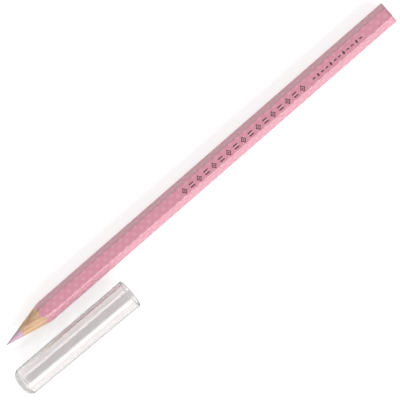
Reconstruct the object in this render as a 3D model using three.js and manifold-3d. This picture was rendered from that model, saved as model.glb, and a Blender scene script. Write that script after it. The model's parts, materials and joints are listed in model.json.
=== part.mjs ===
// Wood-cased fabric chalk pencil with its clear cap taken off and laid beside it.
// Millimetres, +Z up. The pencil lies on one flat along X, tip towards -X, and Z = 0 is the surface it lies on.
// The origin is on the underside flat, at the middle of the pencil's length.
import * as THREE from 'three';
import { mergeVertices } from 'three/addons/utils/BufferGeometryUtils.js';
import Module from 'manifold-3d';

// Pencil
const pencilLength = 175;
const acrossFlats = 7.25;
const edgeRadius = 0.75;
const lacquerThickness = 0.12;
const coreDiameter = 3.5;

// Sharpened end
const coneHalfAngle = 12.5;
const tipRadius = 0.15;

// Cap
const capLength = 50;
const capWall = 1.2;
const capEndThickness = 2.3;
const capEndRadius = 3;
const capInnerEndRadius = 1.8;
const capRimRadius = 0.35;
const capDraftAngle = 0.3;
const seatClearance = 0.05;
const tipClearance = 2;

// Where the cap lies beside the pencil
const capSideGap = 4.6;
const capLead = 5.2;
const capTurn = -0.85;

// How far the uncut bar and the sharpener's cone reach past the pencil, so that the cuts are clean
const cutMargin = 1;

// Fineness of the faceting
const edgeSteps = 6;
const coreSteps = 24;
const coneSides = 72;
const tipSteps = 4;
const capSides = 64;
const capEndSteps = 8;
const rimSteps = 4;

// Worked out from the sizes above
const radians = THREE.MathUtils.degToRad;
const halfLength = pencilLength / 2;
const axisHeight = acrossFlats / 2;
const coreRadius = coreDiameter / 2;
const coneSlope = Math.tan(radians(coneHalfAngle));
const cornerReach = roundedReach(acrossFlats, edgeRadius);
const draftSlope = Math.tan(radians(capDraftAngle));

const wasm = await Module();
wasm.setup();

// Distance from the axis of a hexagon to its rounded long edges.
function roundedReach(flats, radius) {
  return (flats / 2 - radius) / Math.cos(Math.PI / 6) + radius;
}

// Arc points round one corner of a hexagon, from one flat to the next.
function cornerArc(flats, radius, index) {
  const corner = index * Math.PI / 3;
  const middle = (flats / 2 - radius) / Math.cos(Math.PI / 6);
  const points = [];
  for (let step = 0; step <= edgeSteps; step += 1) {
    const angle = corner + (step / edgeSteps - 0.5) * Math.PI / 3;
    points.push(new THREE.Vector2(
      middle * Math.cos(corner) + radius * Math.cos(angle),
      middle * Math.sin(corner) + radius * Math.sin(angle),
    ));
  }
  return points;
}

// Whole outline of a hexagon with rounded corners, one pair of corners on the horizontal line.
function hexagonOutline(flats, radius) {
  const points = [];
  for (let index = 0; index < 6; index += 1) points.push(...cornerArc(flats, radius, index));
  return points;
}

// Points of the core's outline between two angles, the same ones for the core and for its grooves.
function coreArc(fromStep, toStep) {
  const points = [];
  const direction = Math.sign(toStep - fromStep);
  for (let step = fromStep; step !== toStep + direction; step += direction) {
    const angle = step / coreSteps * Math.PI;
    points.push(new THREE.Vector2(coreRadius * Math.cos(angle), coreRadius * Math.sin(angle)));
  }
  return points;
}

// Upper half of the wood: half a hexagon above the glue plane, with half of the core's groove.
function upperSlatOutline() {
  const flats = acrossFlats - 2 * lacquerThickness;
  const radius = edgeRadius - lacquerThickness;
  const half = edgeSteps / 2;
  return [
    ...cornerArc(flats, radius, 0).slice(half),
    ...cornerArc(flats, radius, 1),
    ...cornerArc(flats, radius, 2),
    ...cornerArc(flats, radius, 3).slice(0, half + 1),
    ...coreArc(coreSteps, 0),
  ];
}

// A solid from a closed geometry, for cutting.
function solidOf(geometry) {
  const bare = geometry.index ? geometry.toNonIndexed() : geometry.clone();
  bare.deleteAttribute('normal');
  bare.deleteAttribute('uv');
  const merged = mergeVertices(bare, 1e-5);
  return new wasm.Manifold(new wasm.Mesh({
    numProp: 3,
    vertProperties: new Float32Array(merged.attributes.position.array),
    triVerts: new Uint32Array(merged.index.array),
  }));
}

// A geometry from a cut solid.
function geometryOf(solid) {
  const mesh = solid.getMesh();
  const geometry = new THREE.BufferGeometry();
  geometry.setAttribute('position', new THREE.BufferAttribute(mesh.vertProperties, 3));
  geometry.setIndex(new THREE.BufferAttribute(mesh.triVerts, 1));
  const faceted = geometry.toNonIndexed();
  faceted.computeVertexNormals();
  return faceted;
}

// A bar of the given outline along X, from a little ahead of the tip to the cut rear end.
function barAlongX(outline, hole) {
  const shape = new THREE.Shape(outline);
  if (hole) shape.holes.push(new THREE.Path(hole));
  const bar = new THREE.ExtrudeGeometry(shape, { depth: pencilLength + cutMargin, bevelEnabled: false });
  bar.applyMatrix4(new THREE.Matrix4().makeBasis(
    new THREE.Vector3(0, 1, 0),
    new THREE.Vector3(0, 0, 1),
    new THREE.Vector3(1, 0, 0),
  ));
  return bar.translate(-halfLength - cutMargin, 0, 0);
}

// What the sharpener leaves: a cone with a slightly blunt point, wider than the bar behind the cone.
function sharpenedEnvelope() {
  const wide = cornerReach + cutMargin;
  const rear = pencilLength + cutMargin;
  const angle = radians(coneHalfAngle);
  const profile = [];
  for (let step = 0; step <= tipSteps; step += 1) {
    const turn = (Math.PI / 2 - angle) * step / tipSteps;
    profile.push(new THREE.Vector2(tipRadius * Math.sin(turn), tipRadius * (1 - Math.cos(turn))));
  }
  const coneStart = profile[tipSteps];
  const coneEnd = coneStart.y + (wide - coneStart.x) / coneSlope;
  profile.push(new THREE.Vector2(wide, coneEnd));
  profile.push(new THREE.Vector2(wide, rear));
  profile.push(new THREE.Vector2(0, rear));
  const envelope = new THREE.LatheGeometry(profile, coneSides);
  envelope.rotateZ(-Math.PI / 2);
  return envelope.translate(-halfLength, 0, 0);
}

const envelope = solidOf(sharpenedEnvelope());

function sharpened(bar) {
  return geometryOf(solidOf(bar).intersect(envelope));
}

// Clear cap: closed round end at its own origin, mouth towards its own +X.
// The bore is set so that the pencil's rounded edges seat in it just behind the sharpened cone.
function capGeometry() {
  const bluntLead = tipRadius / Math.sin(radians(coneHalfAngle)) - tipRadius;
  const coneLength = cornerReach / coneSlope - bluntLead;
  const seatDepth = capEndThickness + tipClearance + coneLength;
  const boreAt = (along) => cornerReach + seatClearance + (along - seatDepth) * draftSlope;
  const outerAt = (along) => boreAt(along) + capWall;
  const profile = [new THREE.Vector2(0, 0)];
  arcPoints(profile, outerAt(capEndRadius) - capEndRadius, capEndRadius, capEndRadius, -90, 0, capEndSteps);
  arcPoints(profile, outerAt(capLength) - capRimRadius, capLength - capRimRadius, capRimRadius, 0, 90, rimSteps);
  arcPoints(profile, boreAt(capLength) + capRimRadius, capLength - capRimRadius, capRimRadius, 90, 180, rimSteps);
  const innerEnd = capEndThickness + capInnerEndRadius;
  arcPoints(profile, boreAt(innerEnd) - capInnerEndRadius, innerEnd, capInnerEndRadius, 0, -90, capEndSteps);
  profile.push(new THREE.Vector2(0, capEndThickness));
  const cap = new THREE.LatheGeometry(profile, capSides);
  cap.rotateZ(-Math.PI / 2);
  return { geometry: geometryOf(solidOf(cap)), endRadius: outerAt(0) };
}

// Adds the points of an arc to a lathe profile; angles in degrees, 0 away from the axis and 90 along it.
function arcPoints(profile, radialCentre, alongCentre, radius, fromAngle, toAngle, steps) {
  for (let step = 0; step <= steps; step += 1) {
    const angle = radians(fromAngle + (toAngle - fromAngle) * step / steps);
    profile.push(new THREE.Vector2(
      radialCentre + radius * Math.cos(angle),
      alongCentre + radius * Math.sin(angle),
    ));
  }
}

const chalk = new THREE.MeshStandardMaterial({ color: 0xd9a6cf, roughness: 0.85, metalness: 0 });
const wood = new THREE.MeshStandardMaterial({ color: 0xd3a878, roughness: 0.7, metalness: 0 });
const lacquer = new THREE.MeshStandardMaterial({ color: 0xd8899f, roughness: 0.3, metalness: 0 });
const clearPlastic = new THREE.MeshStandardMaterial({
  color: 0xf2f4f3,
  roughness: 0.08,
  metalness: 0,
  transparent: true,
  opacity: 0.35,
});

function piece(name, geometry, material) {
  const mesh = new THREE.Mesh(geometry, material);
  mesh.name = name;
  return mesh;
}

// The two slats of wood are mirror images about the glue plane.
const upperOutline = upperSlatOutline();
const lowerOutline = upperOutline.map((point) => new THREE.Vector2(point.x, -point.y)).reverse();
const outerHexagon = hexagonOutline(acrossFlats, edgeRadius);
const innerHexagon = hexagonOutline(acrossFlats - 2 * lacquerThickness, edgeRadius - lacquerThickness);

const pencil = new THREE.Group();
pencil.position.z = axisHeight;
pencil.add(piece('chalk_core', sharpened(barAlongX(coreArc(0, 2 * coreSteps - 1))), chalk));
pencil.add(piece('casing_slat_upper', sharpened(barAlongX(upperOutline)), wood));
pencil.add(piece('casing_slat_lower', sharpened(barAlongX(lowerOutline)), wood));
pencil.add(piece('lacquer_coat', sharpened(barAlongX(outerHexagon, innerHexagon)), lacquer));

// The cap lies on its tapered side, so its axis rises by the draft angle from the closed end to the mouth.
const cap = capGeometry();
const capPlace = new THREE.Group();
capPlace.position.set(
  -halfLength - capLead,
  -(cornerReach + capSideGap + cap.endRadius),
  cap.endRadius * Math.cos(radians(capDraftAngle)),
);
capPlace.rotation.z = radians(capTurn);
const capMesh = piece('clear_cap', cap.geometry, clearPlastic);
capMesh.rotation.y = -radians(capDraftAngle);
capPlace.add(capMesh);

const group = new THREE.Group();
group.add(pencil);
group.add(capPlace);

export default group;
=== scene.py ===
"""Looks of the fabric chalk pencil and its clear cap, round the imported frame. Metres, +Z up."""

import json
import math

import bpy
from mathutils import Matrix, Vector, noise


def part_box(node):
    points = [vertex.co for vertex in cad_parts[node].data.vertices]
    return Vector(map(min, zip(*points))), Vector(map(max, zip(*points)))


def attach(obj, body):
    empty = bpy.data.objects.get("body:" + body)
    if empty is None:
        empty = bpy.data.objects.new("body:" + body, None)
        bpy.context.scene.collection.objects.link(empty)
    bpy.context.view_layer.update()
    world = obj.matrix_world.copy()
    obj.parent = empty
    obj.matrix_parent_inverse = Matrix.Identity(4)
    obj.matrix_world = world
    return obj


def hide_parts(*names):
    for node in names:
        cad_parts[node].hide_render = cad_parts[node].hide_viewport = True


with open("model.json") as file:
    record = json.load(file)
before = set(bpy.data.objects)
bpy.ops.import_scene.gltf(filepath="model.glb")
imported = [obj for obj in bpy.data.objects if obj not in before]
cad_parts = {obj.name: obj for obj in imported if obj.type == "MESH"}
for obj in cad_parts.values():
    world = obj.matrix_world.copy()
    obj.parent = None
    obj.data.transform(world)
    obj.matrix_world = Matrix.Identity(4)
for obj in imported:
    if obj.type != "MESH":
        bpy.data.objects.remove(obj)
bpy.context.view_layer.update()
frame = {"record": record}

MM = 0.001


# Sizes, read from the frame where it holds them

coat_low, coat_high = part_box("lacquer_coat")
core_low, core_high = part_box("chalk_core")
_, slat_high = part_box("casing_slat_upper")
cap_low, cap_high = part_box("clear_cap")

SIDE_ANGLE = math.pi / 3
HALF_SIDE_ANGLE = math.pi / 6

TIP_X = core_low.x
REAR_X = core_high.x
FLATS = coat_high.z - coat_low.z
AXIS_Z = (coat_high.z + coat_low.z) / 2
REACH = coat_high.y
COAT = coat_high.z - slat_high.z
CORE_RADIUS = core_high.y
EDGE_RADIUS = ((FLATS / 2 / math.cos(HALF_SIDE_ANGLE) - REACH)
               / (1 / math.cos(HALF_SIDE_ANGLE) - 1))

CONE_ANGLE = math.radians(12.5)
TIP_RADIUS = 0.15 * MM
CONE_SLOPE = math.tan(CONE_ANGLE)
APEX_X = TIP_X - (TIP_RADIUS / math.sin(CONE_ANGLE) - TIP_RADIUS)

CAP_LENGTH = 50 * MM
CAP_WALL = 1.2 * MM
CAP_END_THICKNESS = 2.3 * MM
CAP_END_RADIUS = 3 * MM
CAP_INNER_END_RADIUS = 0.5 * MM
CAP_RIM_RADIUS = 0.2 * MM
CAP_DRAFT = math.radians(0.3)
CAP_SHY = 0.003 * MM  # how far the outside stays within the solid's own facets
# The gate mark, a dimple in the closed end: (depth, distance from the axis)
GATE_PROFILE = ((0.18 * MM, 0.44 * MM), (0.18 * MM, 0.64 * MM), (0.02 * MM, 0.80 * MM),
                (0, 0.92 * MM))


# Mesh helpers

def new_object(name, vertices, faces, smooth=True):
    mesh = bpy.data.meshes.new(name)
    mesh.from_pydata([tuple(v) for v in vertices], [], faces)
    mesh.validate()
    mesh.update()
    if smooth:
        mesh.shade_smooth()
    piece = bpy.data.objects.new(name, mesh)
    bpy.context.scene.collection.objects.link(piece)
    return piece


def bridge(first, second, count):
    """Quads between two closed rings of the same count, given their first vertex numbers."""
    following = [(i + 1) % count for i in range(count)]
    return [(first + i, first + j, second + j, second + i) for i, j in enumerate(following)]


def flipped(faces):
    return [tuple(reversed(face)) for face in faces]


def turned_piece(name, first, rings, last):
    """A closed piece: rings of points round an axis, between two end points on it."""
    count = len(rings[0])
    vertices = [first, *(point for ring in rings for point in ring), last]
    starts = [1 + count * index for index in range(len(rings))]
    front, rear, end = starts[0], starts[-1], len(vertices) - 1
    faces = [(0, front + (i + 1) % count, front + i) for i in range(count)]
    for ahead, behind in zip(starts, starts[1:]):
        faces += flipped(bridge(behind, ahead, count))
    faces += [(end, rear + i, rear + (i + 1) % count) for i in range(count)]
    return new_object(name, vertices, faces)


def sharp_where(piece, limit_degrees):
    """Splits the shading at edges sharper than the limit."""
    piece.data.set_sharp_from_angle(angle=math.radians(limit_degrees))


def smoothstep(low, high, value):
    t = min(1, max(0, (value - low) / (high - low)))
    return t * t * (3 - 2 * t)


# Outline of the six-sided body

FLAT_STEPS = 12
CORNER_STEPS = 8


def corner_middle(flats, radius):
    """How far from the axis the centre of a rounded corner lies."""
    return (flats / 2 - radius) / math.cos(HALF_SIDE_ANGLE)


def hexagon_outline(flats, radius):
    """Points (y, z from the axis, distance round) of a hexagon with rounded corners, two of them
    at +Y and -Y, and the whole length round it."""
    middle = corner_middle(flats, radius)
    corners = []
    for index in range(6):
        corner = index * SIDE_ANGLE
        arc = []
        for step in range(CORNER_STEPS + 1):
            angle = corner + (step / CORNER_STEPS - 0.5) * SIDE_ANGLE
            arc.append(Vector((
                middle * math.cos(corner) + radius * math.cos(angle),
                middle * math.sin(corner) + radius * math.sin(angle),
            )))
        corners.append(arc)
    points = []
    for index, arc in enumerate(corners):
        points.extend(arc)
        next_arc = corners[(index + 1) % 6]
        points.extend(arc[-1].lerp(next_arc[0], step / FLAT_STEPS) for step in range(1, FLAT_STEPS))
    travelled = 0
    outline = []
    for index, point in enumerate(points):
        if index:
            travelled += (point - points[index - 1]).length
        outline.append((point.x, point.y, travelled))
    return outline, travelled + (points[0] - points[-1]).length


# Lacquer coat: a thin sleeve, cut back in scallops by the sharpener

COAT_STATIONS = 24
COAT_REAR_ROUND = 0.05 * MM
COAT_SHARP_ANGLE = 40

# Scallops: (degrees round the pencil from +Y towards +Z, millimetres cut back, width in degrees)
CUT_BACKS = ((90, 0.75, 24), (121, 0.85, 9), (150, 0.80, 20), (30, 0.25, 25), (205, 0.45, 22),
             (262, 0.20, 18), (330, 0.55, 24))
USUAL_CHIP = 0.12
LEAST_CHIP = 0.02
# Unevenness between the scallops: (fineness, millimetres), read along a ring through the noise
CHIP_WAVES = ((2.2, 0.09), (6, 0.05))
CHIP_RING = 5
CHIP_LEVEL = 3.1


def chip(angle):
    """How far the coat's cut edge lies behind the true cone, by the angle round the pencil."""
    place = Vector((math.cos(angle) * CHIP_RING, math.sin(angle) * CHIP_RING, CHIP_LEVEL))
    back = USUAL_CHIP
    for fineness, size in CHIP_WAVES:
        back += size * noise.noise(place * fineness)
    degrees = math.degrees(angle)
    for centre, depth, width in CUT_BACKS:
        away = (degrees - centre + 180) % 360 - 180
        back += depth * math.exp(-(away / width) ** 2)
    return max(LEAST_CHIP, back) * MM


def cut_x(y, z):
    """Where the coat's cut edge lies along the pencil, at a place round it."""
    return APEX_X + math.hypot(y, z) / CONE_SLOPE + chip(math.atan2(z, y))


def make_lacquer():
    outer, round_length = hexagon_outline(FLATS, EDGE_RADIUS)
    inner, _ = hexagon_outline(FLATS - 2 * COAT, EDGE_RADIUS - COAT)
    rings = []
    for station in range(COAT_STATIONS + 1):
        share = station / COAT_STATIONS
        ring = []
        for y, z, _ in outer:
            front = cut_x(y, z)
            along = front + (REAR_X - COAT_REAR_ROUND - front) * share
            ring.append(Vector((along, y, z + AXIS_Z)))
        rings.append(ring)
    shrink = 1 - COAT_REAR_ROUND / REACH
    rings.append([Vector((REAR_X, y * shrink, z * shrink + AXIS_Z)) for y, z, _ in outer])
    rings.append([Vector((REAR_X, y, z + AXIS_Z)) for y, z, _ in inner])
    rings.append([Vector((cut_x(y, z), y, z + AXIS_Z)) for y, z, _ in inner])

    count = len(outer)
    vertices = [v for ring in rings for v in ring]
    faces = []
    for index in range(len(rings)):
        following = (index + 1) % len(rings)
        faces += bridge(index * count, following * count, count)
    piece = new_object("pink_lacquer", vertices, flipped(faces))
    sharp_where(piece, COAT_SHARP_ANGLE)

    # The pattern's own coordinates: millimetres along the pencil, and millimetres round it.
    wrap = piece.data.uv_layers.new(name="wrap")
    for polygon in piece.data.polygons:
        turns = [outer[vertex % count][2] for vertex in polygon.vertices]
        crosses_seam = max(turns) - min(turns) > round_length / 2
        for loop, vertex, turn in zip(polygon.loop_indices, polygon.vertices, turns):
            if crosses_seam and turn < round_length / 2:
                turn += round_length
            wrap.data[loop].uv = ((vertices[vertex].x - TIP_X) / MM, turn / MM)
    return piece, round_length


# Wood casing: two slats, each half a hexagon round half of the core, sharpened to a cone

SLAT_STEPS = 120
SLAT_CONE_STATIONS = 44
SLAT_SHARP_ANGLE = 35
SEAM_DEPTH = 0.03 * MM
SEAM_STEPS = 1.2
# The cone's unevenness fades out at both its ends: (reach of the fade, its sharpness)
BUMP_FADE = (1.02, 0.25)
# What the blade leaves: (fineness round, fineness along each millimetre, height in millimetres)
BLADE_MARKS = ((26, 0.16, 0.011), (9, 1.3, 0.008))


def casing_reach(angle):
    """Distance from the axis to the wood's outside at an angle round the pencil."""
    flats = FLATS - 2 * COAT
    radius = EDGE_RADIUS - COAT
    middle = corner_middle(flats, radius)
    local = (angle + HALF_SIDE_ANGLE) % SIDE_ANGLE - HALF_SIDE_ANGLE
    to_arc = math.atan2(radius * math.sin(HALF_SIDE_ANGLE),
                        middle + radius * math.cos(HALF_SIDE_ANGLE))
    if abs(local) >= to_arc:
        return flats / 2 / math.cos(HALF_SIDE_ANGLE - abs(local))
    return middle * math.cos(local) + math.sqrt(radius ** 2 - (middle * math.sin(local)) ** 2)


def blade_mark(angle, along):
    """Small unevenness that the sharpener leaves on the cone, in metres outwards."""
    height = 0
    for fine_round, fine_along, size in BLADE_MARKS:
        place = (math.cos(angle) * fine_round, math.sin(angle) * fine_round, along * fine_along)
        height += size * noise.noise(Vector(place))
    return height * MM


def seam_dip(step):
    """How deep the glue line lies in the cone's surface, at a step from one seam to the other."""
    near = math.exp(-(step / SEAM_STEPS) ** 2)
    far = math.exp(-((SLAT_STEPS - step) / SEAM_STEPS) ** 2)
    return SEAM_DEPTH * (near + far)


def make_slat(name, start):
    fade_reach, fade_power = BUMP_FADE
    loops = []
    for step in range(SLAT_STEPS + 1):
        angle = start + math.pi * step / SLAT_STEPS
        out = casing_reach(angle)
        loop = []
        for station in range(SLAT_CONE_STATIONS + 1):
            share = station / SLAT_CONE_STATIONS
            reach = CORE_RADIUS + (out - CORE_RADIUS) * share
            along = APEX_X + reach / CONE_SLOPE
            inside = math.sin(math.pi * min(1, share * fade_reach)) ** fade_power
            bump = (blade_mark(angle, (along - TIP_X) / MM) - seam_dip(step)) * inside
            loop.append((along, reach + bump))
        loop.append((REAR_X, out))
        loop.append((REAR_X, CORE_RADIUS))
        loops.append([Vector((x, r * math.cos(angle), r * math.sin(angle) + AXIS_Z))
                      for x, r in loop])
    count = len(loops[0])
    vertices = [v for loop in loops for v in loop]
    faces = []
    for step in range(SLAT_STEPS):
        faces += bridge(step * count, (step + 1) * count, count)
    faces.append(tuple(range(count)))
    faces.append(tuple(reversed(range(SLAT_STEPS * count, (SLAT_STEPS + 1) * count))))
    piece = new_object(name, vertices, flipped(faces))
    sharp_where(piece, SLAT_SHARP_ANGLE)
    return piece


# Chalk core: a rod with a rubbed point

CORE_SIDES = 96
CORE_TIP_STEPS = 8
CORE_CONE_STEPS = 60
CORE_SHARP_ANGLE = 40
CRUMB_FINENESS = 3.2
CRUMB_HEIGHT = 0.014 * MM
CRUMB_FADE = 0.6 * MM
CRUMB_END = 0.995  # the share of the radius up to which the cone is rough


def crumb(x, reach, angle):
    """Roughness of the chalk's cone, in metres outwards. The rod behind the cone is smooth."""
    if x >= REAR_X - MM or reach >= CORE_RADIUS * CRUMB_END:
        return 0
    place = (x / MM * CRUMB_FINENESS,
             math.cos(angle) * reach / MM * CRUMB_FINENESS,
             math.sin(angle) * reach / MM * CRUMB_FINENESS)
    return CRUMB_HEIGHT * noise.noise(Vector(place)) * smoothstep(0, CRUMB_FADE, reach)


def make_core():
    profile = []
    for step in range(CORE_TIP_STEPS + 1):
        turn = (math.pi / 2 - CONE_ANGLE) * step / CORE_TIP_STEPS
        profile.append((TIP_X + TIP_RADIUS * (1 - math.cos(turn)), TIP_RADIUS * math.sin(turn)))
    first_reach = profile[-1][1]
    for step in range(1, CORE_CONE_STEPS + 1):
        reach = first_reach + (CORE_RADIUS - first_reach) * step / CORE_CONE_STEPS
        profile.append((APEX_X + reach / CONE_SLOPE, reach))
    profile.append((REAR_X, CORE_RADIUS))

    rings = []
    for x, reach in profile[1:]:
        ring = []
        for step in range(CORE_SIDES):
            angle = 2 * math.pi * step / CORE_SIDES
            r = reach + crumb(x, reach, angle)
            ring.append(Vector((x, r * math.cos(angle), r * math.sin(angle) + AXIS_Z)))
        rings.append(ring)
    tip = Vector((TIP_X, 0, AXIS_Z))
    rear = Vector((REAR_X, 0, AXIS_Z))
    piece = turned_piece("chalk_lead", tip, rings, rear)
    sharp_where(piece, CORE_SHARP_ANGLE)
    return piece


# Printed border on the upper flat, in two groups. Motif sizes are half the length, half the width.

INK_THICKNESS = 0.012 * MM
PRINT_Y = -0.25 * MM
LOZENGE_STEPS = 6
LOZENGE_WAIST = 0.12
STITCH_STEPS = 8

# First group: framed lozenges, with pairs of stitches between them
FIRST_GROUP_X = -5.0 * MM
FIRST_GROUP_PITCH = 3.341 * MM
FIRST_GROUP_COUNT = 17
FRAME_OUTSIDE = (1.10 * MM, 1.30 * MM)
FRAME_INSIDE = (0.66 * MM, 0.80 * MM)
FRAMED_DOT = (0.30 * MM, 0.36 * MM)
PAIRED_STITCH = (1.0 * MM, 0.21 * MM)
PAIR_OFFSET = 0.55 * MM

# Second group: a row of stitches, every third one a small lozenge
SECOND_GROUP_X = 53.6 * MM
SECOND_GROUP_PITCH = 1.9 * MM
SECOND_GROUP_COUNT = 12
SMALL_LOZENGE = (0.5 * MM, 0.85 * MM)
ROW_STITCH = (0.62 * MM, 0.20 * MM)


def thin_plate(outside, inside):
    """Vertices and faces of a plate of ink, with a hole where an inside outline is given."""
    base = coat_high.z - INK_THICKNESS
    top = coat_high.z + INK_THICKNESS
    count = len(outside)
    vertices = [Vector((x, y, z)) for outline in (outside, inside) if outline
                for z in (base, top) for x, y in outline]
    faces = bridge(0, count, count)
    if inside:
        faces += flipped(bridge(2 * count, 3 * count, count))
        faces += bridge(count, 3 * count, count)
        faces += flipped(bridge(0, 2 * count, count))
    else:
        faces.append(tuple(range(count, 2 * count)))
        faces.append(tuple(reversed(range(count))))
    return vertices, faces


def lozenge(x, y, half_long, half_wide, waist=0.0):
    """A diamond outline, its sides drawn in by the waist."""
    corners = [(half_long, 0), (0, half_wide), (-half_long, 0), (0, -half_wide)]
    points = []
    for index, (ax, ay) in enumerate(corners):
        bx, by = corners[(index + 1) % 4]
        for step in range(LOZENGE_STEPS):
            share = step / LOZENGE_STEPS
            pull = 1 - waist * math.sin(math.pi * share)
            points.append((x + (ax + (bx - ax) * share) * pull,
                           y + (ay + (by - ay) * share) * pull))
    return points


def stitch(x, y, half_long, half_wide):
    """A short bar with round ends."""
    points = []
    for side, start in ((1, -90), (-1, 90)):
        for step in range(STITCH_STEPS + 1):
            angle = math.radians(start + 180 * step / STITCH_STEPS)
            points.append((x + side * (half_long - half_wide) + half_wide * math.cos(angle),
                           y + half_wide * math.sin(angle)))
    return points


def make_print():
    vertices, faces = [], []

    def add(outside, inside=None):
        first = len(vertices)
        more, plate_faces = thin_plate(outside, inside)
        vertices.extend(more)
        faces.extend(tuple(first + v for v in face) for face in plate_faces)

    for index in range(FIRST_GROUP_COUNT):
        x = FIRST_GROUP_X + FIRST_GROUP_PITCH * index
        if index % 2 == 0:
            add(lozenge(x, PRINT_Y, *FRAME_OUTSIDE, LOZENGE_WAIST),
                lozenge(x, PRINT_Y, *FRAME_INSIDE, LOZENGE_WAIST))
            add(lozenge(x, PRINT_Y, *FRAMED_DOT))
        else:
            add(stitch(x, PRINT_Y + PAIR_OFFSET, *PAIRED_STITCH))
            add(stitch(x, PRINT_Y - PAIR_OFFSET, *PAIRED_STITCH))
    for index in range(SECOND_GROUP_COUNT):
        x = SECOND_GROUP_X + SECOND_GROUP_PITCH * index
        if index % 3 == 1:
            add(lozenge(x, PRINT_Y, *SMALL_LOZENGE, LOZENGE_WAIST))
        else:
            add(stitch(x, PRINT_Y, *ROW_STITCH))
    return new_object("printed_border", vertices, faces, smooth=False)


# Clear cap: one moulding, closed and round at one end

CAP_SIDES = 160
CAP_STATIONS = 24
CAP_END_STEPS = 24
CAP_RIM_STEPS = 8
CAP_INNER_END_STEPS = 20
CAP_SHARP_ANGLE = 50
CAP_INNER_END_REACH = 0.6 * MM

OUTSIDE_MATERIAL, BORE_MATERIAL, RIM_MATERIAL = 0, 1, 2

mouth = next(m for m in frame["record"]["mounts"] if m["name"] == "cap_mouth")
cap_axis = Vector(mouth["axis"]).normalized()


def arc(radial, along, radius, start, stop, steps):
    """Profile points (along, radial) of an arc; degrees, 0 away from the axis and 90 along it."""
    points = []
    for step in range(steps + 1):
        angle = math.radians(start + (stop - start) * step / steps)
        points.append((along + radius * math.sin(angle), radial + radius * math.cos(angle)))
    return points


def straight(start, stop, reach_at):
    """Profile points (along, radial) between two stations, without the stations themselves."""
    stations = [start + (stop - start) * step / CAP_STATIONS for step in range(1, CAP_STATIONS)]
    return [(along, reach_at(along)) for along in stations]


def make_cap():
    slope = math.tan(CAP_DRAFT)
    outer_mouth = (cap_high.z - cap_low.z) / 2 / math.cos(CAP_DRAFT)

    def outer(along):
        return outer_mouth - CAP_SHY - (CAP_LENGTH - along) * slope

    def bore(along):
        return outer(along) + CAP_SHY - CAP_WALL

    end, rim, inner = CAP_END_RADIUS, CAP_RIM_RADIUS, CAP_INNER_END_RADIUS
    rim_start = CAP_LENGTH - rim
    inner_end = CAP_END_THICKNESS + inner
    profile = list(GATE_PROFILE)
    profile += arc(outer(end) - end, end, end, -90, 0, CAP_END_STEPS)
    profile += straight(end, rim_start, outer)
    rim_first = len(profile)
    profile += arc(outer(CAP_LENGTH) - rim, rim_start, rim, 0, 90, CAP_RIM_STEPS)
    profile += arc(bore(CAP_LENGTH) + rim, rim_start, rim, 90, 180, CAP_RIM_STEPS)
    rim_last = len(profile) - 1
    profile += straight(rim_start, inner_end, bore)
    profile += arc(bore(inner_end) - inner, inner_end, inner, 0, -90, CAP_INNER_END_STEPS)
    profile.append((CAP_END_THICKNESS, CAP_INNER_END_REACH))

    # The cap lies on its side: its own axes are along it, across it, and up.
    across = Vector((0, 0, 1)).cross(cap_axis).normalized()
    up = cap_axis.cross(across)
    mouth_centre = Vector(mouth["pos_m"]) - up * (outer_mouth - CAP_WALL / 2)
    closed_end = mouth_centre - cap_axis * CAP_LENGTH

    rings = []
    for along, reach in profile:
        ring = []
        for step in range(CAP_SIDES):
            angle = 2 * math.pi * step / CAP_SIDES
            ring.append(closed_end + cap_axis * along
                        + across * reach * math.cos(angle) + up * reach * math.sin(angle))
        rings.append(ring)
    gate_floor = closed_end + cap_axis * profile[0][0]
    bore_floor = closed_end + cap_axis * CAP_END_THICKNESS
    piece = turned_piece("clear_plastic_cap", gate_floor, rings, bore_floor)
    sharp_where(piece, CAP_SHARP_ANGLE)

    rim_from = 1 + CAP_SIDES * rim_first
    rim_to = 1 + CAP_SIDES * rim_last
    for polygon in piece.data.polygons:
        first = min(polygon.vertices)
        if first < rim_from:
            polygon.material_index = OUTSIDE_MATERIAL
        else:
            polygon.material_index = RIM_MATERIAL if first < rim_to else BORE_MATERIAL
    return piece


# Material helpers

NOISE_SPAN = (0.3, 0.7)  # between these a noise has most of its values


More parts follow.
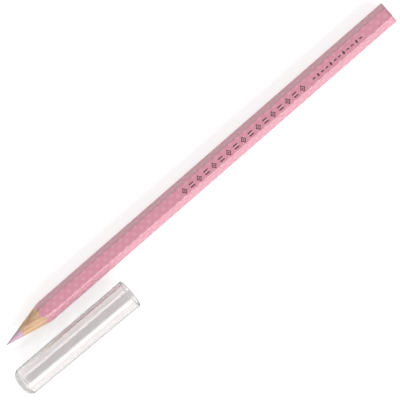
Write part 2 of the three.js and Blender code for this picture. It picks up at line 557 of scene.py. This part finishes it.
class Nodes:
    """A small helper that adds shader nodes to one material."""

    def __init__(self, name):
        self.material = bpy.data.materials.new(name)
        self.material.use_nodes = True
        self.tree = self.material.node_tree
        self.tree.nodes.clear()
        self.output = self.tree.nodes.new("ShaderNodeOutputMaterial")

    def add(self, kind, **settings):
        node = self.tree.nodes.new("ShaderNode" + kind)
        for key, value in settings.items():
            setattr(node, key, value)
        return node

    def link(self, source, target):
        self.tree.links.new(source, target)

    def feed(self, socket, value):
        """Sets an input to a plain value, or links it to another node's output."""
        if isinstance(value, bpy.types.NodeSocket):
            self.link(value, socket)
        else:
            socket.default_value = value

    def math(self, operation, first, second=0.0):
        node = self.add("Math", operation=operation)
        self.feed(node.inputs[0], first)
        self.feed(node.inputs[1], second)
        return node.outputs[0]

    def vector(self, operation, first, second=(0, 0, 0)):
        node = self.add("VectorMath", operation=operation)
        self.feed(node.inputs[0], first)
        self.feed(node.inputs[1], second)
        return node.outputs["Value" if operation == "LENGTH" else "Vector"]

    def coordinate(self, vector, axis):
        node = self.add("SeparateXYZ")
        self.link(vector, node.inputs[0])
        return node.outputs[axis]

    def ramp(self, value, low, high, to_low=0.0, to_high=1.0):
        """A smooth change from one value to another, where the input goes from low to high."""
        node = self.add("MapRange", interpolation_type="SMOOTHSTEP")
        self.feed(node.inputs["Value"], value)
        self.feed(node.inputs["From Min"], low)
        self.feed(node.inputs["From Max"], high)
        self.feed(node.inputs["To Min"], to_low)
        self.feed(node.inputs["To Max"], to_high)
        return node.outputs["Result"]

    def spread(self, noise_value, to_low=0.0, to_high=1.0):
        return self.ramp(noise_value, *NOISE_SPAN, to_low, to_high)

    def noise(self, vector, scale, detail=2.0, roughness=0.5):
        node = self.add("TexNoise")
        self.link(vector, node.inputs["Vector"])
        node.inputs["Scale"].default_value = scale
        node.inputs["Detail"].default_value = detail
        node.inputs["Roughness"].default_value = roughness
        return node.outputs["Fac"]

    def mix(self, factor, first, second):
        """A blend of two colours."""
        node = self.add("Mix", data_type="RGBA")
        self.feed(node.inputs[0], factor)
        self.feed(node.inputs[6], first)
        self.feed(node.inputs[7], second)
        return node.outputs[2]

    def millimetres(self, scale=(1, 1, 1)):
        """Object coordinates in millimetres, scaled along each axis."""
        coordinates = self.add("TexCoord").outputs["Object"]
        return self.vector("MULTIPLY", coordinates, tuple(s / MM for s in scale))

    def bump(self, height, distance):
        node = self.add("Bump")
        node.inputs["Strength"].default_value = 1.0
        node.inputs["Distance"].default_value = distance
        self.link(height, node.inputs["Height"])
        return node.outputs["Normal"]

    def principled(self, **settings):
        shader = self.add("BsdfPrincipled")
        for key, value in settings.items():
            self.feed(shader.inputs[key.replace("_", " ")], value)
        self.link(shader.outputs["BSDF"], self.output.inputs["Surface"])


def srgb(red, green, blue):
    """A colour written as 0 to 255 display values, as the shader wants it."""
    def linear(c):
        c /= 255
        return c / 12.92 if c <= 0.04045 else ((c + 0.055) / 1.055) ** 2.4
    return (linear(red), linear(green), linear(blue), 1)


# Pink lacquer with its faint spots. Spot sizes are in millimetres.

LACQUER_DEEP = srgb(216, 140, 159)
LACQUER_PALE = srgb(224, 151, 169)
SPOT_COLOUR = srgb(232, 173, 187)
SPOT_STRENGTH = 0.45
SPOT_PITCH = 3.341
SPOT_RADIUS = 0.74
SPOT_SOFTNESS = 0.16
SPOT_ROWS = 14
SPOT_SHIFT = 0.6

# Painted shade along the cut rear edge, a darker band: from and to how far before the end, how much
REAR_EDGE_PAINTED_SHADE = srgb(150, 98, 112)
REAR_EDGE_FROM = 0.9
REAR_EDGE_TO = 0.3
REAR_EDGE_STRENGTH = 0.4


def lacquer_material(round_length):
    n = Nodes("pink_lacquer")
    wrap = n.add("UVMap", uv_map="wrap").outputs["UV"]
    row = round_length / MM / SPOT_ROWS
    cell = (SPOT_PITCH, 2 * row, 1)
    shifts = ((SPOT_SHIFT, 0.25 * row, 0), (SPOT_SHIFT + SPOT_PITCH / 2, 1.25 * row, 0))
    masks = []
    for shift in shifts:
        share = n.vector("FRACTION", n.vector("DIVIDE", n.vector("ADD", wrap, shift), cell))
        from_middle = n.vector("SUBTRACT", share, (0.5, 0.5, 0))
        distance = n.vector("LENGTH", n.vector("MULTIPLY", from_middle, (cell[0], cell[1], 0)))
        masks.append(n.ramp(distance, SPOT_RADIUS + SPOT_SOFTNESS, SPOT_RADIUS - SPOT_SOFTNESS))
    spots = n.math("MAXIMUM", *masks)
    cloud = n.noise(n.millimetres((0.25, 1, 1)), scale=0.35, detail=3)
    ground = n.mix(cloud, LACQUER_DEEP, LACQUER_PALE)
    colour = n.mix(n.math("MULTIPLY", spots, SPOT_STRENGTH), ground, SPOT_COLOUR)
    length = (REAR_X - TIP_X) / MM
    # Painted shade: the lacquer darkens over the last part before the cut rear end
    rear_edge_shade = n.ramp(n.coordinate(wrap, "X"), length - REAR_EDGE_FROM, length - REAR_EDGE_TO,
                       0, REAR_EDGE_STRENGTH)
    waves = n.noise(n.millimetres((0.06, 0.9, 0.9)), scale=1.0)
    pores = n.noise(n.millimetres((0.5, 2.5, 2.5)), scale=2.0)
    height = n.math("ADD", waves, n.math("MULTIPLY", pores, 0.08))
    n.principled(
        Base_Color=n.mix(rear_edge_shade, colour, REAR_EDGE_PAINTED_SHADE),
        Roughness=n.spread(cloud, 0.30, 0.36),
        Coat_Weight=1.0,
        Coat_Roughness=0.14,
        Coat_IOR=1.6,
        Normal=n.bump(height, 0.02 * MM),
    )
    return n.material


# Ink of the printed border, worn in places

INK_DARK = srgb(58, 36, 42)
INK_WORN = srgb(108, 72, 82)


def ink_material():
    n = Nodes("plum_ink")
    worn = n.noise(n.millimetres(), scale=5.0, detail=3, roughness=0.6)
    n.principled(
        Base_Color=n.mix(n.ramp(worn, 0.4, 0.75, 0, 0.55), INK_DARK, INK_WORN),
        Roughness=n.spread(worn, 0.4, 0.55),
        Coat_Weight=0.5,
        Coat_Roughness=0.2,
    )
    return n.material


# Bare wood, seen on the cone and on the cut rear end. Each slat has its own piece of the tree.

UPPER_RING_CENTRE = (9, 19)
UPPER_LIGHT = srgb(240, 203, 167)
UPPER_DARK = srgb(214, 171, 133)
LOWER_RING_CENTRE = (-15, -7)
LOWER_LIGHT = srgb(236, 197, 159)
LOWER_DARK = srgb(209, 165, 127)

LATE_WOOD = srgb(176, 124, 86)
PORE_COLOUR = srgb(150, 106, 76)
PALE_STREAK = srgb(238, 206, 174)
GLUE_LINE = srgb(120, 84, 62)

RING_PITCH = 1.25
RING_SWAY = 1.6
RING_LEAN = 0.02  # how little the rings change along the pencil
SEAM_WIDTH = 0.07


def wood_material(name, ring_centre, light, dark):
    """Straight-grained wood: growth rings about a far axis, pores, and the slats' glue line."""
    n = Nodes(name)
    place = n.millimetres()
    sway = n.noise(n.millimetres((0.03, 0.35, 0.35)), scale=1.0)
    from_centre = n.vector("SUBTRACT", place, (0, *ring_centre))
    across = n.vector("LENGTH", n.vector("MULTIPLY", from_centre, (RING_LEAN, 1, 1)))
    rings = n.math("ADD", across, n.math("MULTIPLY", sway, RING_SWAY))
    phase = n.math("FRACT", n.math("DIVIDE", rings, RING_PITCH))
    late = n.math("SUBTRACT", n.ramp(phase, 0.3, 0.86), n.ramp(phase, 0.9, 1.0))
    fibre = n.noise(n.millimetres((0.06, 2.4, 2.4)), scale=1.6, detail=4, roughness=0.6)
    pores = n.noise(n.millimetres((0.25, 6, 6)), scale=2.0, detail=1)
    broad = n.noise(n.millimetres((0.03, 0.5, 0.5)), scale=1.0, detail=1)
    from_seam = n.math("ABSOLUTE", n.math("SUBTRACT", n.coordinate(place, "Z"), AXIS_Z / MM))
    colour = n.mix(n.spread(fibre), dark, light)
    colour = n.mix(n.math("MULTIPLY", late, 0.5), colour, LATE_WOOD)
    colour = n.mix(n.ramp(pores, 0.60, 0.72, 0, 0.55), colour, PORE_COLOUR)
    colour = n.mix(n.ramp(broad, 0.35, 0.7, 0, 0.35), colour, PALE_STREAK)
    seam = n.ramp(from_seam, SEAM_WIDTH, SEAM_WIDTH * 0.3, 0, 0.5)
    height = n.math("ADD", fibre, n.math("MULTIPLY", pores, -0.8))
    n.principled(
        Base_Color=n.mix(seam, colour, GLUE_LINE),
        Roughness=n.spread(fibre, 0.62, 0.78),
        Normal=n.bump(height, 0.04 * MM),
    )
    return n.material


# Pressed chalk

CHALK_DARK = srgb(198, 170, 181)
CHALK_LIGHT = srgb(228, 202, 211)
CHALK_LILAC = srgb(214, 168, 203)


def chalk_material():
    n = Nodes("pressed_chalk")
    powder = n.noise(n.millimetres(), scale=4.0, detail=4, roughness=0.65)
    broad = n.noise(n.millimetres((0.5, 1, 1)), scale=1.0)
    colour = n.mix(n.ramp(powder, 0.35, 0.65), CHALK_DARK, CHALK_LIGHT)
    n.principled(
        Base_Color=n.mix(n.ramp(broad, 0.42, 0.62, 0, 0.55), colour, CHALK_LILAC),
        Roughness=n.spread(powder, 0.8, 0.95),
        Normal=n.bump(powder, 0.04 * MM),
    )
    return n.material


# Clear plastic. Grey shade is painted on its wall where it is seen edge on, lighter near the closed
# end, and its closed end is hazy.

PLASTIC_IOR = 1.5
CLEAR_COLOUR = (0.985, 0.963, 0.962, 1)
# Painted shade for the wall seen edge on: on the outside, in the bore, and near the closed end
OUTSIDE_EDGE_PAINTED_SHADE = (0.42, 0.40, 0.40, 1)
BORE_EDGE_PAINTED_SHADE = (0.96, 0.95, 0.95, 1)
END_EDGE_PAINTED_SHADE = (0.98, 0.97, 0.97, 1)
END_HAZE = 0.16
END_FROM = 4.5  # millimetres from the closed end where the haze starts
END_TO = 1.5  # and where it is full

RIM_DULL = (0.90, 0.88, 0.88, 1)
RIM_CLEAR = (0.96, 0.95, 0.95, 1)


def clear_material(name, painted_edge_shade):
    n = Nodes(name)
    closed_end = cap_low.x / MM
    along = n.coordinate(n.millimetres(), "X")
    at_end = n.ramp(along, closed_end + END_FROM, closed_end + END_TO)
    flow = n.noise(n.millimetres((0.05, 0.4, 0.4)), scale=1.0, detail=1)
    facing = n.add("LayerWeight")
    facing.inputs["Blend"].default_value = 0.5
    # Painted shade: the colour turns grey where the wall is seen edge on
    edge_shade_mask = n.ramp(facing.outputs["Facing"], 0.2, 0.8)
    n.principled(
        Base_Color=n.mix(edge_shade_mask, CLEAR_COLOUR, n.mix(at_end, painted_edge_shade, END_EDGE_PAINTED_SHADE)),
        Roughness=n.math("ADD", n.spread(flow, 0.06, 0.08), n.math("MULTIPLY", at_end, END_HAZE)),
        IOR=PLASTIC_IOR,
        Transmission_Weight=1.0,
    )
    return n.material


def rim_material():
    """The cap's open edge, left a little matt where the mould parted."""
    n = Nodes("clear_plastic_rim")
    grain = n.noise(n.millimetres((3, 3, 3)), scale=1.0)
    n.principled(
        Base_Color=n.mix(grain, RIM_DULL, RIM_CLEAR),
        Roughness=n.spread(grain, 0.34, 0.46),
        IOR=PLASTIC_IOR,
        Transmission_Weight=0.65,
    )
    return n.material


# The pieces, each on its body

def dress(piece, material, body, slot, *nodes):
    piece.data.materials.append(material)
    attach(piece, body)
    if nodes:
        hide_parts(*nodes)


lacquer, lacquer_round = make_lacquer()
dress(lacquer, lacquer_material(lacquer_round), "pencil", "lacquer", "lacquer_coat")
upper_wood = wood_material("bare_wood_upper", UPPER_RING_CENTRE, UPPER_LIGHT, UPPER_DARK)
lower_wood = wood_material("bare_wood_lower", LOWER_RING_CENTRE, LOWER_LIGHT, LOWER_DARK)
dress(make_slat("wood_slat_upper", 0), upper_wood, "pencil", "wood", "casing_slat_upper")
dress(make_slat("wood_slat_lower", math.pi), lower_wood, "pencil", "wood", "casing_slat_lower")
dress(make_core(), chalk_material(), "pencil", "chalk", "chalk_core")
dress(make_print(), ink_material(), "pencil", "lacquer")

# The cap's three materials, in the order of OUTSIDE_MATERIAL, BORE_MATERIAL and RIM_MATERIAL
cap = make_cap()
outside_material = clear_material("clear_plastic", OUTSIDE_EDGE_PAINTED_SHADE)
dress(cap, outside_material, "cap", "clear_plastic", "clear_cap")
cap.data.materials.append(clear_material("clear_plastic_bore", BORE_EDGE_PAINTED_SHADE))
cap.data.materials.append(rim_material())


# Floor. Its glow makes it white where it is seen, mirrored or seen through the plastic, and puts
# no light on the pieces, so that its shadows stay.

FLOOR_SIDE = 6
FLOOR_DROP = 0.02 * MM
FLOOR_COLOUR = (0.75, 0.75, 0.75, 1)
FLOOR_GLOW = 0.58
FLOOR_MIRROR_GLOW = 0.30
FLOOR_GLASS_GLOW = 0.39


def make_floor():
    far, z = FLOOR_SIDE / 2, -FLOOR_DROP
    corners = [(-far, -far, z), (far, -far, z), (far, far, z), (-far, far, z)]
    floor = new_object("floor", corners, [(0, 1, 2, 3)], smooth=False)
    n = Nodes("pale_floor")
    diffuse = n.add("BsdfDiffuse")
    diffuse.inputs["Color"].default_value = FLOOR_COLOUR
    path = n.add("LightPath")
    seen = n.math("MULTIPLY", path.outputs["Is Camera Ray"], FLOOR_GLOW)
    mirrored = n.math("MULTIPLY", path.outputs["Is Glossy Ray"], FLOOR_MIRROR_GLOW)
    through = n.math("MULTIPLY", path.outputs["Is Transmission Ray"], FLOOR_GLASS_GLOW)
    glow = n.add("Emission")
    n.link(n.math("ADD", seen, n.math("MAXIMUM", mirrored, through)), glow.inputs["Strength"])
    both = n.add("AddShader")
    n.link(diffuse.outputs[0], both.inputs[0])
    n.link(glow.outputs[0], both.inputs[1])
    n.link(both.outputs[0], n.output.inputs["Surface"])
    floor.data.materials.append(n.material)


# Light: rectangles turned to the origin, each with its name, place, size and power in watts

LAMPS = (
    ("near_softbox", (0.0, -0.67, 0.54), (1.8, 0.38), 8.5),
    ("far_panel", (0.0, 0.75, 0.42), (1.4, 0.6), 0.65),
    ("far_strip", (0.0, 0.53, 0.68), (1.2, 0.05), 0.65),
)
WORLD_STRENGTH = 0.43


def make_lamp(name, place, size, power):
    data = bpy.data.lights.new(name, "AREA")
    data.shape = "RECTANGLE"
    data.size, data.size_y = size
    data.energy = power
    lamp = bpy.data.objects.new(name, data)
    lamp.location = place
    lamp.rotation_mode = "QUATERNION"
    lamp.rotation_quaternion = (-Vector(place)).to_track_quat("-Z", "Y")
    lamp.visible_camera = False
    bpy.context.scene.collection.objects.link(lamp)


def make_world():
    world = bpy.data.worlds.new("studio")
    world.use_nodes = True
    background = world.node_tree.nodes["Background"]
    background.inputs["Color"].default_value = (1, 1, 1, 1)
    background.inputs["Strength"].default_value = WORLD_STRENGTH
    bpy.context.scene.world = world


# Camera: from high above the middle, a little towards the rear end, turned so that the pencil
# runs up to the right

CAMERA_PLACE = Vector((0.080, -0.005, 0.850))
CAMERA_AIM = Vector((-0.00343, -0.00603, 0.003625))
CAMERA_ROLL = math.radians(-41.01)
CAMERA_SENSOR = 36
CAMERA_LENS = 222.75
CAMERA_CLIP = (0.01, 50)


def make_camera():
    data = bpy.data.cameras.new("photo_view")
    data.sensor_width = CAMERA_SENSOR
    data.lens = CAMERA_LENS
    data.clip_start, data.clip_end = CAMERA_CLIP
    camera = bpy.data.objects.new("photo_view", data)
    back = (CAMERA_PLACE - CAMERA_AIM).normalized()
    right = Vector((0, 1, 0)).cross(back).normalized()
    up = back.cross(right)
    rolled_right = right * math.cos(CAMERA_ROLL) + up * math.sin(CAMERA_ROLL)
    rolled_up = back.cross(rolled_right)
    turn = Matrix((rolled_right, rolled_up, back)).transposed().to_4x4()
    camera.matrix_world = Matrix.Translation(CAMERA_PLACE) @ turn
    bpy.context.scene.collection.objects.link(camera)
    bpy.context.scene.camera = camera


make_floor()
for lamp in LAMPS:
    make_lamp(*lamp)
make_world()
make_camera()
bpy.context.scene.view_settings.view_transform = "Standard"
